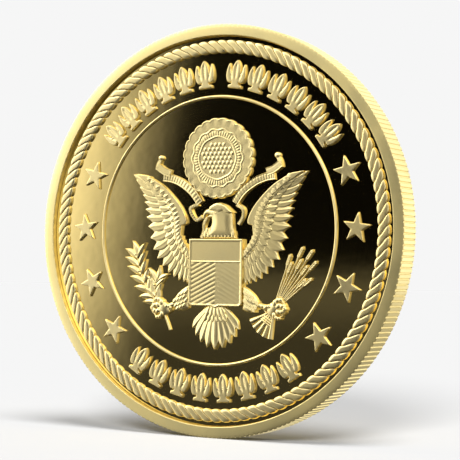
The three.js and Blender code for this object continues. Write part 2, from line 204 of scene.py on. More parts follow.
turns = [(i + share) / REEDS for i in range(REEDS) for share in REED_STEPS]
angles = np.array(turns) * 2 * math.pi
depths = np.array([reed_depth(share) for share in REED_STEPS] * REEDS)
half_section = [(BORE_RADIUS, 0.0, 0), (BORE_RADIUS, FIELD - 0.32, 0), (RECESS_RADIUS, FIELD - 0.32, 0)]
half_section += [(RECESS_RADIUS + out, RIM + up, 0) for out, up in INNER_CORNER]
half_section += [
    ((RECESS_RADIUS * 2 + COIN_RADIUS) / 3, RIM - 0.003, 0),
    ((RECESS_RADIUS + COIN_RADIUS * 2) / 3, RIM - 0.012, 0),
]
half_section += [(COIN_RADIUS + out, RIM + up, share) for out, up, share in OUTER_CORNER]
half_section.append((COIN_RADIUS, RIM * 0.45, 1))
section = half_section + [(r, -z, share) for r, z, share in half_section[:0:-1]]
rows = [ring_row(radius - depths * share, angles, height) for radius, height, share in section]

# Corners that hands and other coins rub are burnished brighter than the flats; in the narrow
# creases the colour is darkened as painted shade.
rubbed, ins, outs = open_group(
    "rubbed_corners_and_crease_shade",
    [("Start", "NodeSocketFloat", 0.52), ("End", "NodeSocketFloat", 0.62)],
    [("Rubbed", "NodeSocketFloat"), ("Open", "NodeSocketFloat")],
)
sharpness = add(rubbed, "ShaderNodeNewGeometry").outputs["Pointiness"]
where = add(rubbed, "ShaderNodeTexCoord").outputs["Object"]
patchy = add(rubbed, "ShaderNodeTexNoise", Vector=where, Scale=900.0, Detail=2.0)
picked = mapped(rubbed, sharpness, ins.outputs["Start"], ins.outputs["End"])
kept = mapped(rubbed, patchy.outputs[0], 0.3, 0.6, 0.5, 1.0)
# Painted shade: where the surface creases inward (low pointiness), the colour is darkened to stand in for
# shade in the grooves.
painted_crease_shade = mapped(rubbed, sharpness, 0.36, 0.48, 0.35, 1.0)
feed(rubbed, outs, Rubbed=worked_out(rubbed, "MULTIPLY", picked, kept), Open=painted_crease_shade)

# Sandblasting leaves fine overlapping pits; a second, coarser wander keeps them from looking even.
blasted, ins, outs = open_group(
    "blasted_grain",
    [("Grain mm", "NodeSocketFloat", 0.05), ("Coarse share", "NodeSocketFloat", 0.4)],
    [("Height", "NodeSocketFloat")],
)
where = add(blasted, "ShaderNodeTexCoord").outputs["Object"]
per_metre = worked_out(blasted, "DIVIDE", 1000.0, ins.outputs["Grain mm"])
pits = add(blasted, "ShaderNodeTexVoronoi", {"feature": "F1"}, Vector=where, Scale=per_metre)
wander = add(blasted, "ShaderNodeTexNoise", Vector=where, Scale=3500.0, Detail=3.0)
coarse = worked_out(blasted, "MULTIPLY", wander.outputs[0], ins.outputs["Coarse share"])
feed(blasted, outs, Height=worked_out(blasted, "ADD", coarse, pits.outputs["Distance"]))


def worked_gold(name, light, deep, dull, bright, grain, depth, rub_start, rub_end):
    """Plated gold with a blasted or satin grain, duller in its clouds, brighter where rubbed, and with
    painted shade darkening its creases.
    """
    material, tree, shader, tones = metal(name, light, deep, 5.0)
    rub = add(tree, "ShaderNodeGroup", {"node_tree": rubbed}, Start=rub_start, End=rub_end)
    base = mapped(tree, tones.outputs["Clouds"], low=dull - 0.03, high=dull + 0.04)
    rough = add(tree, "ShaderNodeMix", {"data_type": "FLOAT"}, i0=rub.outputs[0], i2=base, i3=bright)
    plated, painted_shade_share = tones.outputs["Color"], rub.outputs["Open"]
    # The plated colour is multiplied by the painted crease shade, so it is darker in the grooves.
    tone = add(tree, "ShaderNodeVectorMath", {"operation": "SCALE"}, i0=plated, Scale=painted_shade_share)
    pits = add(tree, "ShaderNodeGroup", {"node_tree": blasted}, Grain_mm=grain)
    bump = add(tree, "ShaderNodeBump", Strength=0.5, Distance=depth * MM, Height=pits.outputs[0])
    feed(tree, shader, Roughness=rough.outputs[0], Base_Color=tone.outputs[0], Normal=bump.outputs[0])
    return material


satin_gold = worked_gold(
    "satin_gold", (0.96, 0.83, 0.42, 1), (0.92, 0.78, 0.37, 1), 0.34, 0.33, 0.04, 0.0015, 0.7, 0.9
)
fitted("reeded_edge_ring", rings_shell(rows), satin_gold, "edge_ring", crease=50)


# ======== Face plates ========
# The two fields of the coin, lapped and die-polished to a mirror before plating. Faint circular
# polishing lines and a trace of orange peel are all that breaks the reflection.
def turned(profile, steps=240):
    """A closed shell turned from an open profile of (radius, height) that starts and ends on the axis."""
    spin = np.arange(steps) * 2 * math.pi / steps
    rows = [ring_row(radius, spin, height) for radius, height in profile[1:-1]]
    points = np.vstack([*rows, [[0, 0, profile[0][1]], [0, 0, profile[-1][1]]]])
    faces = ring_faces(len(rows), steps)
    first, last = len(points) - 2, len(points) - 1
    end = (len(rows) - 1) * steps
    for j in range(steps):
        k = (j + 1) % steps
        faces.append((first, k, j))
        faces.append((last, end + j, end + k))
    return points, faces


mirror_gold, tree, shader, tones = metal("mirror_gold", (0.92, 0.74, 0.32, 1), (0.9, 0.72, 0.3, 1), 9.0)
where = add(tree, "ShaderNodeTexCoord").outputs["Object"]
parts = add(tree, "ShaderNodeSeparateXYZ", Vector=where)
flat = add(tree, "ShaderNodeCombineXYZ", X=parts.outputs["X"], Y=parts.outputs["Z"])
out_from_axis = add(tree, "ShaderNodeVectorMath", {"operation": "LENGTH"}, i0=flat.outputs[0])
turning = {"W": out_from_axis.outputs["Value"], "Scale": 9000.0, "Detail": 3.0}
turn_lines = add(tree, "ShaderNodeTexNoise", {"noise_dimensions": "1D"}, **turning)
peel = add(tree, "ShaderNodeTexNoise", Vector=where, Scale=700.0, Detail=1.0)
haze = mapped(tree, turn_lines.outputs[0], low=0.03, high=0.075)
lines = add(tree, "ShaderNodeBump", Strength=0.04, Distance=0.000002, Height=turn_lines.outputs[0])
waves = add(tree, "ShaderNodeBump", Strength=0.1, Distance=0.00002, Height=peel.outputs[0])
feed(tree, waves, Normal=lines.outputs[0])
feed(tree, shader, Roughness=haze, Normal=waves.outputs[0])

PLATE_RADIUS = RECESS_RADIUS - 0.02
plate_profile = [
    (0, FIELD - 0.3),
    (PLATE_RADIUS - 0.04, FIELD - 0.3),
    (PLATE_RADIUS, FIELD - 0.26),
    (PLATE_RADIUS, FIELD - 0.04),
    (PLATE_RADIUS - 0.04, FIELD),
    (12.0, FIELD),
    (6.0, FIELD),
    (0.4, FIELD),
    (0, FIELD),
]
for side in ("obverse", "reverse"):
    fitted(f"{side}_mirror_field", turned(plate_profile), mirror_gold, f"{side}_plate", side)


# ======== Rope borders ========
# A twisted rope round each field, sunk in the dies and frosted: plump slanting strands with rounded
# ends, so the border's outline is scalloped and a sharp groove parts each strand from the next.
STRANDS = 110
STRAND_LEAN = 0.56  # strands of lean from the rope's middle to its edge
rope_low, rope_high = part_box("obverse_rope_border")
ROPE_OUTER = (rope_high.x - rope_low.x) / 2 / MM - 0.06
ROPE_WIDTH = 1.32
ROPE_HEIGHT = (rope_high.y - rope_low.y) / MM - 0.08
STRAND_STEPS = (0.0, 0.025, 0.06, 0.12, 0.3, 0.5, 0.7, 0.88, 0.94, 0.975)
SUNK = 0.05  # how far every device goes down into the field

frosted_gold = worked_gold(
    "frosted_gold", (0.93, 0.8, 0.43, 1), (0.87, 0.73, 0.36, 1), 0.31, 0.24, 0.05, 0.003, 0.56, 0.7
)


def sunk(row):
    """A row of points again, down in the field where every device ends."""
    return row * (1, 1, 0) + (0, 0, FIELD - SUNK)


across = np.array([-1, -0.97, -0.9, -0.76, -0.5, -0.2, 0.2, 0.5, 0.76, 0.9, 0.97, 1])
steps = np.array([i + share for i in range(STRANDS) for share in STRAND_STEPS])
in_strand = np.abs(np.array(list(STRAND_STEPS) * STRANDS) * 2 - 1)
rope_rows = []
for s in across:
    plump = np.clip(1 - in_strand**20, 0, 1) ** 0.7 * max(0.0, 1 - abs(s) ** 14) ** 0.5
    plump = plump * (1 - 0.02 * in_strand**2 - 0.05 * s * s)
    radius = ROPE_OUTER - ROPE_WIDTH / 2 + s * ROPE_WIDTH / 2 * (1 - 0.24 * in_strand**3)
    lean = STRAND_LEAN * (s + 0.14 * math.sin(math.pi * s))
    angle = (steps + lean) / STRANDS * 2 * math.pi
    height = FIELD - 0.03 + (ROPE_HEIGHT + 0.03) * plump
    rope_rows.append(ring_row(radius, angle, height))
rope_points, rope_faces = rings_shell(rope_rows + [sunk(rope_rows[-1]), sunk(rope_rows[0])])
rope = (rope_points, [face[::-1] for face in rope_faces])


def frosted(name, shell, node, side="obverse", crease=38):
    """Sets a shell on its face of the coin in the frosted finish of every raised device."""
    fitted(name, shell, frosted_gold, node, side, crease)


for side in ("obverse", "reverse"):
    frosted(f"{side}_twisted_rope", rope, f"{side}_rope_border", side, crease=30)


# ======== Ring lines ========
# A thin raised wire between the legend band and the centre, frosted like the rope.
line_low, line_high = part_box("obverse_ring_line")
LINE_OUTER = (line_high.x - line_low.x) / 2 / MM
LINE_HALF = 0.15
LINE_HEIGHT = (line_high.y - line_low.y) / MM + 0.02
spin = np.arange(360) * 2 * math.pi / 360
line_rows = []
for bearing in range(0, 181, 20):
    out = LINE_OUTER - LINE_HALF + LINE_HALF * math.cos(math.radians(bearing))
    up = FIELD + LINE_HEIGHT * math.sin(math.radians(bearing)) ** 0.7
    line_rows.append(ring_row(out, spin, up))
line_rows += [sunk(line_rows[-1]), sunk(line_rows[0])]
for side in ("obverse", "reverse"):
    frosted(f"{side}_raised_line", rings_shell(line_rows), f"{side}_ring_line", side, crease=60)


# ======== Stars ========
# Four small five-pointed stars on each side of the legend band: flat-topped, steep-walled and
# frosted, each pointing to the rim but turned a little off it.
def edge_distance(points, outline):
    """How far each point is from a closed outline."""
    a = outline[None, :, :]
    b = np.roll(outline, -1, axis=0)[None, :, :]
    p = points[:, None, :]
    run = b - a
    share = np.clip(((p - a) * run).sum(2) / np.maximum((run**2).sum(2), 1e-12), 0, 1)
    return np.sqrt((((a + run * share[..., None]) - p) ** 2).sum(2)).min(1)


def within(points, outline):
    """Which points are inside a closed outline."""
    x, y = points[:, 0:1], points[:, 1:2]
    ax, ay = outline[None, :, 0], outline[None, :, 1]
    bx, by = np.roll(ax, -1, 1), np.roll(ay, -1, 1)
    crosses = (ay > y) != (by > y)
    reach = ax + (y - ay) * (bx - ax) / np.where(by == ay, 1e-9, by - ay)
    return (crosses & (x < reach)).sum(1) % 2 == 1


def evenly(outline, step):
    """The outline with extra points, so that none are further apart than step."""
    outline = np.asarray(outline, float)
    made = []
    for a, b in zip(outline, np.roll(outline, -1, axis=0)):
        count = max(1, math.ceil(np.linalg.norm(b - a) / step))
        made += [a + (b - a) * i / count for i in range(count)]
    return np.array(made)


def inward_from(outline):
    """A unit step inwards from each point of a closed outline."""
    run = np.roll(outline, -1, axis=0) - np.roll(outline, 1, axis=0)
    run /= np.maximum(np.linalg.norm(run, axis=1, keepdims=True), 1e-9)
    return np.column_stack([-run[:, 1], run[:, 0]])


def walled(points, faces, loop, foot):
    """A face made a closed shell, by walls from its loop of edge points down to a foot in the field."""
    first, count = len(points), len(loop)
    for i in range(count):
        j = (i + 1) % count
        faces.append((loop[j], loop[i], first + i, first + j))
    faces.append(tuple(range(first + count - 1, first - 1, -1)))
    return np.vstack([points, np.column_stack([foot, np.full(count, FIELD - SUNK)])]), faces


def struck(outline, top, step, bevel=0.06, draft=0.05):
    """A raised device: the outline's face, lifted by top(x, y, distance from the edge), and its wall."""
    outline = evenly(outline, step)
    x, y = outline.T
    if (x * np.roll(y, -1) - np.roll(x, -1) * y).sum() < 0:
        outline = outline[::-1]
    reaches = (bevel * 0.4, bevel, bevel * 2)
    low, high = outline.min(0), outline.max(0)
    xs = np.arange(low[0], high[0] + step, step)
    ys = np.arange(low[1], high[1] + step, step * 0.866)
    grid = np.array([(u + (j % 2) * step / 2, v) for j, v in enumerate(ys) for u in xs])
    inner = [grid[(edge_distance(grid, outline) > reaches[-1] + step / 2) & within(grid, outline)]]
    for reach in reaches:
        rim = outline + inward_from(outline) * reach
        inner.append(rim[(edge_distance(rim, outline) > reach * 0.93) & within(rim, outline)])
    flat = np.vstack([outline, *inner])
    count = len(outline)
    rim_edges = [(i, (i + 1) % count) for i in range(count)]
    made = delaunay_2d_cdt([Vector(p) for p in flat], rim_edges, [], 1, 1e-6)
    flat = np.array([tuple(p) for p in made[0]])
    faces = [tuple(face) for face in made[2]]
    lift = top(flat[:, 0], flat[:, 1], edge_distance(flat, outline))
    points = np.column_stack([flat, FIELD + lift])
    directed = {(f[i], f[(i + 1) % 3]) for f in faces for i in range(3)}
    follows = {a: b for a, b in directed if (b, a) not in directed}
    start = next(iter(follows))
    loop = [start]
    while follows[loop[-1]] != start:
        loop.append(follows[loop[-1]])
    rim = flat[loop]
    return walled(points, faces, loop, rim - inward_from(rim) * draft)


def flat_top(height, bevel=0.06):
    """A level face with its corner rounded off."""
    def top(x, y, edge):
        fall = np.clip(1 - edge / bevel, 0, 1)
        return height - bevel * 0.7 * (1 - np.sqrt(1 - fall**2 * 0.98))
    return top


def polar(radius, degrees):
    angle = np.radians(degrees)
    return np.stack([radius * np.cos(angle), radius * np.sin(angle)], axis=-1)


def moved(shell, shift=(0, 0), turn=0):
    """A shell turned about the origin, in degrees, and then shifted over the face."""
    points, faces = shell
    c, s = polar(1, turn)
    x, y, z = points.T
    return np.column_stack([x * c - y * s + shift[0], x * s + y * c + shift[1], z]), faces


def bearing_of(node):
    """The bearing of an obverse CAD node from the coin's axis, in degrees."""
    low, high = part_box(node)
    return math.degrees(math.atan2(low.z + high.z, low.x + high.x))


STAR_RADIUS = 1.45
STAR_WAIST = 0.4  # inner corner's share of the radius
STAR_LEAN = 10  # degrees off pointing straight out, to mirror one side in the other
LEGEND_RADIUS = 15.11


def star_outline(radius):
    return [polar(radius * (STAR_WAIST if i % 2 else 1), 90 + 36 * i) for i in range(10)]


star = struck(star_outline(STAR_RADIUS), flat_top(0.29), 0.22, bevel=0.05)
for i in range(8):
    name = f"star_{i + 1:02d}"
    bearing = bearing_of(name)
    turn = bearing - 90 + math.copysign(STAR_LEAN, 90 - abs(bearing))
    frosted(f"frosted_{name}", moved(star, polar(LEGEND_RADIUS, bearing), turn), name)


# ======== Palmettes of the legend band ========
# Where such a coin carries its wording, this one has a run of palmettes: a pointed middle leaf and
# two side leaves on a footed stem, steep-walled, with a vein cut down each leaf.
PALMETTE_HEIGHT = 2.7
PALMETTE_HALF = 1.05
PALMETTE_RADIUS = LEGEND_RADIUS + 0.12
PALMETTE_SIDE = [
    (0.66, 0.0), (0.66, 0.09), (0.4, 0.12), (0.34, 0.17), (0.36, 0.22), (0.52, 0.19), (0.76, 0.2),
    (0.9, 0.28), (0.99, 0.4), (1.0, 0.52), (0.98, 0.63), (0.9, 0.76), (0.8, 0.86), (0.7, 0.76),
    (0.58, 0.66), (0.5, 0.57), (0.45, 0.5), (0.44, 0.6), (0.42, 0.7), (0.34, 0.82), (0.18, 0.93),
]


def palmette_top(x, y, edge):
    lift = flat_top(0.31)(x, y, edge)
    middle = np.exp(-((x / 0.05) ** 2)) * np.clip((y + 0.5) / 0.4, 0, 1) * np.clip((1.1 - y) / 0.3, 0, 1)
    off = np.abs(x) - (0.42 + 0.32 * np.clip((y + 0.5) / 1.2, 0, 1))
    sides = np.exp(-((off / 0.05) ** 2)) * np.clip((y + 0.6) / 0.3, 0, 1) * np.clip((0.75 - y) / 0.3, 0, 1)
    return lift - 0.07 * np.maximum(middle, sides) * np.clip(edge / 0.1, 0, 1)


right = [(u * PALMETTE_HALF, (v - 0.5) * PALMETTE_HEIGHT) for u, v in PALMETTE_SIDE]
palmette_outline = right + [(0, PALMETTE_HEIGHT / 2)] + [(-u, v) for u, v in right[::-1]]
palmette = struck(palmette_outline, palmette_top, 0.1, bevel=0.04)
for band, count, up in (("top", 12, -90), ("bottom", 8, 90)):
    for i in range(count):
        name = f"{band}_palmette_{i + 1:02d}"
        bearing = bearing_of(name)
        frosted(f"frosted_{name}", moved(palmette, polar(PALMETTE_RADIUS, bearing), bearing + up), name)


# ======== Wings ========
# The bird's raised wings: long flight feathers fan from under two rows of coverts, and a rounded
# shoulder runs along the leading edge. Each feather is crowned, leans on the next and has a quill.
DEVICE_SHIFT = 0.3
SHIELD_HALF = 2.95


def through(points, shares):
    """Points at shares of the way along a smooth curve through the given points."""
    points = np.asarray(points, float)
    last = len(points) - 1
    made = []
    for share in np.atleast_1d(shares):
        i = min(int(share * last), last - 1)
        w = share * last - i
        p0, p1, p2, p3 = points[max(i - 1, 0)], points[i], points[i + 1], points[min(i + 2, last)]
        v0, v1 = (p2 - p0) / 2, (p3 - p1) / 2
        gap = p2 - p1
        made.append((v0 + v1 - 2 * gap) * w**3 + (3 * gap - 2 * v0 - v1) * w**2 + v0 * w + p1)
    return np.array(made)


def curve(points, steps):
    """A smooth curve through the given points, drawn in a number of equal steps."""
    return through(points, np.arange(steps + 1) / steps)


def blade(line, half, lift, across):
    """A closed strip along a line, with its half width and its lifts at each point of the line."""
    line = np.asarray(line, float)
    run = np.gradient(line, axis=0)
    run /= np.linalg.norm(run, axis=1, keepdims=True)
    left = np.column_stack([-run[:, 1], run[:, 0]])
    n, m = len(line), len(across)
    spread = np.asarray(half)[:, None] * np.asarray(across)[None, :]
    flat = (line[:, None, :] + left[:, None, :] * spread[..., None]).reshape(-1, 2)
    lifts = np.broadcast_to(lift, (n, m)).reshape(-1)
    corners = [(i * m + j, (i + 1) * m + j) for i in range(n - 1) for j in range(m - 1)]
    faces = [(near, far, far + 1, near + 1) for near, far in corners]
    loop = [i * m for i in range(n)] + [(n - 1) * m + j for j in range(1, m)]
    loop += [i * m + m - 1 for i in range(n - 2, -1, -1)] + list(range(m - 2, 0, -1))
    return walled(np.column_stack([flat, FIELD + lifts]), faces, loop, flat[loop])


VANE = np.array([-1, -0.86, -0.55, -0.22, -0.07, 0.07, 0.22, 0.55, 0.86, 1])
REACH = np.array([0, 0.12, 0.25, 0.4, 0.55, 0.68, 0.79, 0.88, 0.95, 1.0])


def feather(foot, tip, width, foot_lift, tip_lift, crown=0.014, quill=0.012, lean=0.0, bow=0.0,
            root=0.55, belly=0.55):
    """A feather or leaf from foot to tip: swelling from its root to its belly, then drawn to a point."""
    foot, tip = np.asarray(foot, float), np.asarray(tip, float)
    span = tip - foot
    side = np.array([-span[1], span[0]])
    line = foot + span * REACH[:, None] + side * (bow * np.sin(np.pi * REACH))[:, None]
    swell = root + (1 - root) * np.sin(np.minimum(REACH / belly, 1) * np.pi / 2)
    closing = np.clip((REACH - belly) / (1 - belly), 0, 1)
    half = width / 2 * np.maximum(swell * (1 - closing**1.6) ** 0.95, 0.05)
    lift = foot_lift + (tip_lift - foot_lift) * REACH[:, None] + crown * (1 - VANE**2) + lean * VANE
    lift = lift + quill * (np.abs(VANE) < 0.1) - 0.025 * (np.abs(VANE) > 0.99)
    lift = lift - 0.04 * (REACH[:, None] > 0.99)
    return blade(line, half, lift, VANE)


def gathered(shells):
    """Several closed shells as one."""
    points, faces, start = [], [], 0
    for shell_points, shell_faces in shells:
        points.append(shell_points)
        faces += [tuple(i + start for i in face) for face in shell_faces]
        start += len(shell_points)
    return np.vstack(points), faces


def mirrored(shell):
    points, faces = shell
    return points * np.array([-1, 1, 1]), [face[::-1] for face in faces]


def central(name, shell, node, crease=38):
    """Sets a part of the centre group, which stands a little right of the coin's middle."""
    frosted(name, moved(shell, (DEVICE_SHIFT, 0)), node, crease=crease)


WING_TIPS = [(-9.7, 5.6), (-8.5, 3.4), (-8, 1), (-7, -2.4), (-5, -4.5), (-3.3, -5.15)]
WING_FEET = [(-7.2, 4.5), (-6.2, 3.0), (-5.4, 1.2), (-5.0, -0.8), (-4.2, -2.6), (-3.15, -3.4)]
COVERT_TIPS = [(-8.6, 5.2), (-7.05, 3.45), (-6.35, 1.3), (-5.75, -1.1), (-4.6, -2.95), (-3.3, -3.8)]
COVERT_FEET = [(-7.4, 4.6), (-6.0, 3.2), (-5.2, 1.4), (-4.8, -0.4), (-4.1, -1.9), (-3.1, -2.8)]
LESSER_TIPS = [(-7.8, 4.85), (-6.15, 3.3), (-5.45, 1.5), (-5.05, -0.4), (-4.2, -1.9), (-3.2, -2.8)]
LESSER_FEET = [(-6.9, 4.5), (-5.4, 3.4), (-4.75, 2.1), (-4.4, 0.5), (-3.9, -0.9), (-3.1, -1.9)]
LEADING_EDGE = [(-3.95, 0.5), (-3.4, 0.75), (-3.75, 1.8), (-4.7, 3.05), (-6.25, 4.45), (-8.1, 5.45)]
LEAST_TIPS = [
    (-8.0, 5.05), (-6.45, 3.7), (-5.35, 2.35), (-4.75, 1.0), (-4.6, -0.2), (-4.2, -1.3), (-3.35, -2.35),
]
LEAST_FEET = [
    (-7.6, 5.1), (-6.0, 3.95), (-4.85, 2.65), (-4.25, 1.4), (-4.2, 0.2), (-3.95, -0.8), (-3.2, -1.9),
]
SHOULDER_INSIDE = [
    (-8.5, 5.05), (-7.35, 4.35), (-6.1, 3.35), (-5.3, 2.2), (-4.85, 0.9), (-4.75, -0.4), (-4.25, -1.5),
]
ARMPIT = [(-3.75, -1.5), (-4.05, -0.4)]
WING_HEART = np.array([-4.2, 0.2])
FLIGHT_FEATHERS = 17
hand = random.Random(7)


def feather_row(feet, tips, count, widen, foot_lift, tip_lift, lean, bow):
    """A row of overlapping feathers between two curves."""
    shares = np.arange(count) / (count - 1)
    starts, ends = through(feet, shares), through(tips, shares)
    gaps = np.linalg.norm(np.gradient(ends, axis=0), axis=1)
    made = []
    for start, end, gap in zip(starts, ends, gaps):
        width = gap * widen * hand.uniform(0.96, 1.04)
        made.append(feather(start, end, width, foot_lift, tip_lift, lean=lean, bow=bow))
    return made


inner = -(SHIELD_HALF + 0.05)
gaps = FLIGHT_FEATHERS - 1
tips = curve(WING_TIPS, gaps)
notches = through(WING_TIPS, (np.arange(gaps) + 0.6) / gaps)
underlay = [(inner, -4.9), (inner, -2.1), *ARMPIT, *curve(LEADING_EDGE, 10)]
for tip, notch in zip(tips, notches):
    underlay.append(tip + (WING_HEART - tip) * 0.03)
    underlay.append(notch + (WING_HEART - notch) * 0.16)
underlay.append(tips[-1] + (WING_HEART - tips[-1]) * 0.03)
shoulder = [*curve(LEADING_EDGE, 20), (-9.35, 5.62), *curve(SHOULDER_INSIDE, 24)]
shoulder += [(inner, -2.7), (inner, -2.1), *ARMPIT]
wing = gathered([
    struck(underlay, flat_top(0.17), 0.3),
    *feather_row(WING_FEET, WING_TIPS, FLIGHT_FEATHERS, 1.12, 0.22, 0.2, 0.024, 0.05),
    *feather_row(COVERT_FEET, COVERT_TIPS, FLIGHT_FEATHERS, 1.2, 0.27, 0.26, 0.022, 0.05),
    *feather_row(LESSER_FEET, LESSER_TIPS, 16, 1.25, 0.32, 0.31, 0.02, 0.05),
    struck(shoulder, flat_top(0.36), 0.16, bevel=0.05),
    *feather_row(LEAST_FEET, LEAST_TIPS, 19, 1.2, 0.35, 0.37, 0.012, 0.0),
])
central("feathered_wing_left", wing, "wing_left")
central("feathered_wing_right", mirrored(wing), "wing_right")


# ======== Head and neck ========
# The bird of prey's head in profile over the shield: a smooth rounded neck with short hackles at its
# foot, a flat crown jutting over the eye, and a hooked beak.
def boss(x, y, long, wide, turn, low, high, steps=16, rings=5):
    """A rounded knob on the relief, from low at its edge to high in the middle."""
    spin = np.arange(steps) * 2 * math.pi / steps
    rows = []
    for climb in np.arange(rings + 1) / (rings + 0.6) * math.pi / 2:
        height = FIELD + low + (high - low) * math.sin(climb)
        rows.append(ring_row(math.cos(climb), spin, height) * (long, wide, 1))
    under, over = tuple(range(steps - 1, -1, -1)), tuple((rings + 1) * steps + j for j in range(steps))
    faces = [under, *ring_faces(rings + 2, steps), over]
    return moved((np.vstack([sunk(rows[0]), *rows]), faces), (x, y), turn)


def rod(line, half, low, high):
    """A half-round rod along a line; half, low and high may be one value or one for each point."""
    line = np.asarray(line, float)
    half, low, high = (np.broadcast_to(value, len(line)) for value in (half, low, high))
    across = np.array([-1, -0.92, -0.7, -0.4, 0, 0.4, 0.7, 0.92, 1])
    lift = low[:, None] + (high - low)[:, None] * np.sqrt(1 - across**2)
    return blade(line, half, lift, across)


def rounded(low, high, radius):
    """A face that swells from low at its edge to high at radius inside it."""
    def top(x, y, edge):
        fall = 1 - np.clip(edge / radius, 0, 1)
        return low + (high - low) * np.sqrt(1 - fall**2)
    return top


SHIELD_TOP = -0.85
neck_foot = SHIELD_TOP + 0.06
NAPE = [(2.12, neck_foot), (1.85, 0.3), (1.78, 1.2), (1.65, 1.8), (1.0, 2.4), (0.1, 2.65), (-0.7, 2.3)]
THROAT = [(-0.62, 1.25), (-0.55, 0.9), (-0.62, 0.5), (-0.95, -0.1), (-1.5, neck_foot)]
CROWN = [
    (-0.8, 1.95), (-0.72, 2.28), (-0.3, 2.52), (0.1, 2.65), (0.6, 2.58), (1.0, 2.42), (1.5, 2.0),
    (1.85, 1.72), (1.5, 1.62), (1.1, 1.68), (0.75, 1.86), (0.35, 1.78), (0.0, 1.86), (-0.4, 1.9),
]
BEAK = [(-0.35, 1.72), (-0.9, 1.82), (-1.32, 1.62), (-1.5, 1.1)]
GAPE = [(-0.4, 1.4), (-0.8, 1.38), (-1.08, 1.22)]
EYE = (-0.02, 1.66)
hackles = []
for row in range(2):
    for i in range(9 - row):
        x, y = -1.25 + (i + row / 2) * 0.38, neck_foot + row * 0.3
        root, tip = (x + 0.05, y + 0.75), (x, y + 0.04)
        hackles.append(feather(root, tip, 0.42, 0.36, 0.4 - row * 0.02, crown=0.05))
neck_outline = [*curve(NAPE, 30), (-0.85, 2.0), (-0.8, 1.45), *curve(THROAT, 16)]
head = gathered([
    struck(neck_outline, rounded(0.22, 0.5, 0.85), 0.12, bevel=0.08),
    *hackles,
    struck(CROWN, rounded(0.46, 0.57, 0.2), 0.1, bevel=0.04),
    boss(*EYE, 0.2, 0.15, 10, 0.44, 0.49),
    boss(*EYE, 0.1, 0.1, 0, 0.48, 0.54, 12),
    rod(curve(BEAK, 12), np.linspace(0.34, 0.05, 13) ** 0.9, 0.25, np.linspace(0.5, 0.34, 13)),
    rod(curve(GAPE, 6), np.linspace(0.17, 0.07, 7), 0.2, np.linspace(0.42, 0.32, 7)),
])
central("bird_head_and_neck", head, "head_and_neck")


# ======== Shield ========
# The shield on the bird's breast: a moulded edge round a plain band at the top and a field of raised
# chevrons below it.
SHIELD_BOTTOM = -7.3
BAND_FOOT = -3.0
CORNER_RADIUS = 0.4
CHEVRON_PITCH = 0.44
corner_middle = np.array([CORNER_RADIUS - SHIELD_HALF, SHIELD_BOTTOM + CORNER_RADIUS])
left_corner = corner_middle + polar(CORNER_RADIUS, np.arange(180, 271, 10))
half_outline = [(-SHIELD_HALF, SHIELD_TOP), *left_corner, (-0.45, SHIELD_BOTTOM), (0, SHIELD_BOTTOM - 0.2)]
shield_outline = half_outline + [(-x, y) for x, y in half_outline[-2::-1]]


def shield_top(x, y, edge):
    moulding = 0.48 - 0.03 * np.clip((0.06 - edge) / 0.06, 0, 1)
    inside = np.clip((edge - 0.14) / 0.05, 0, 1)
    rib = (y + 0.5 * np.abs(x)) / CHEVRON_PITCH
    chevrons = 0.4 + 0.03 * np.abs(np.sin(np.pi * rib)) ** 0.6
    fillet = np.exp(-(((y - BAND_FOOT) / 0.07) ** 4))
    face = np.where(y > BAND_FOOT, 0.43, chevrons)
    face = np.maximum(face, 0.47 * fillet)
    return moulding * (1 - inside) + face * inside


central("charged_shield", struck(shield_outline, shield_top, 0.075, bevel=0.05), "shield", crease=50)


# ======== Leafy sprig ========
# The sprig in the left foot, of two branches: paired pointed leaves with raised midribs on thin
# round stems, and a few berries in their forks.
LEAF_LENGTH = 1.75
LEAF_WIDTH = 0.68
RIBBED_LEAF = {"crown": 0.1, "quill": 0.035, "root": 0.2, "belly": 0.45}
MAIN_STEM = [(-5.15, -9.75), (-5.7, -8.5), (-6.6, -7.2), (-7.8, -5.9), (-8.7, -4.2), (-9.15, -2.6)]
SIDE_STEM = [(-6.3, -7.6), (-6.75, -6.8), (-7, -5.9), (-6.85, -5.1)]


def branch(stem, thick, first_leaf, pairs, berries):
    """A stem with its paired leaves, an end leaf and berries in some of the forks."""
    made = [rod(curve(stem, 24), np.linspace(thick, 0.08, 25), 0.04, np.linspace(0.26, 0.2, 25))]
    for i in range(pairs + 1):
        share = first_leaf + (0.97 - first_leaf) * min(i, pairs - 1) / (pairs - 1)
        back = min(share, 0.95)
        foot, start, end = through(stem, [share, back, back + 0.02])
        heading = math.degrees(math.atan2(*(end - start)[::-1]))
        for lean in ((0,) if i == pairs else (-44, 44)):
            length = LEAF_LENGTH * hand.uniform(0.9, 1.05)
            tip = foot + polar(length, heading + lean + hand.uniform(-4, 4))
            bow = 0.06 if lean < 0 else -0.06
            made.append(feather(foot, tip, LEAF_WIDTH, 0.14, 0.2, bow=bow, **RIBBED_LEAF))
        if i % 2 == berries and i < pairs:
            knob = foot + polar(0.42, heading + 12)
            made.append(boss(*knob, 0.15, 0.15, 0, 0.16, 0.33, 12, 4))
    return made


sprig = gathered([*branch(MAIN_STEM, 0.15, 0.4, 7, 0), *branch(SIDE_STEM, 0.12, 0.45, 3, 1)])
central("leafy_sprig", sprig, "leaf_sprig", crease=50)


# ======== Grain sheaf ========
# The sheaf in the right foot: stiff stalks that fan up into ears of overlapping grains, bound by
# three turns of twine, with the cut ends splayed below.
TIE = np.array([6.35, -7.55])
STALKS = 9
SHEAF_LEAN = 71  # bearing of the first stalk
SHEAF_SPREAD = 32
BUTTS = (205, 219, 233, 247, 261)  # bearings of the cut ends


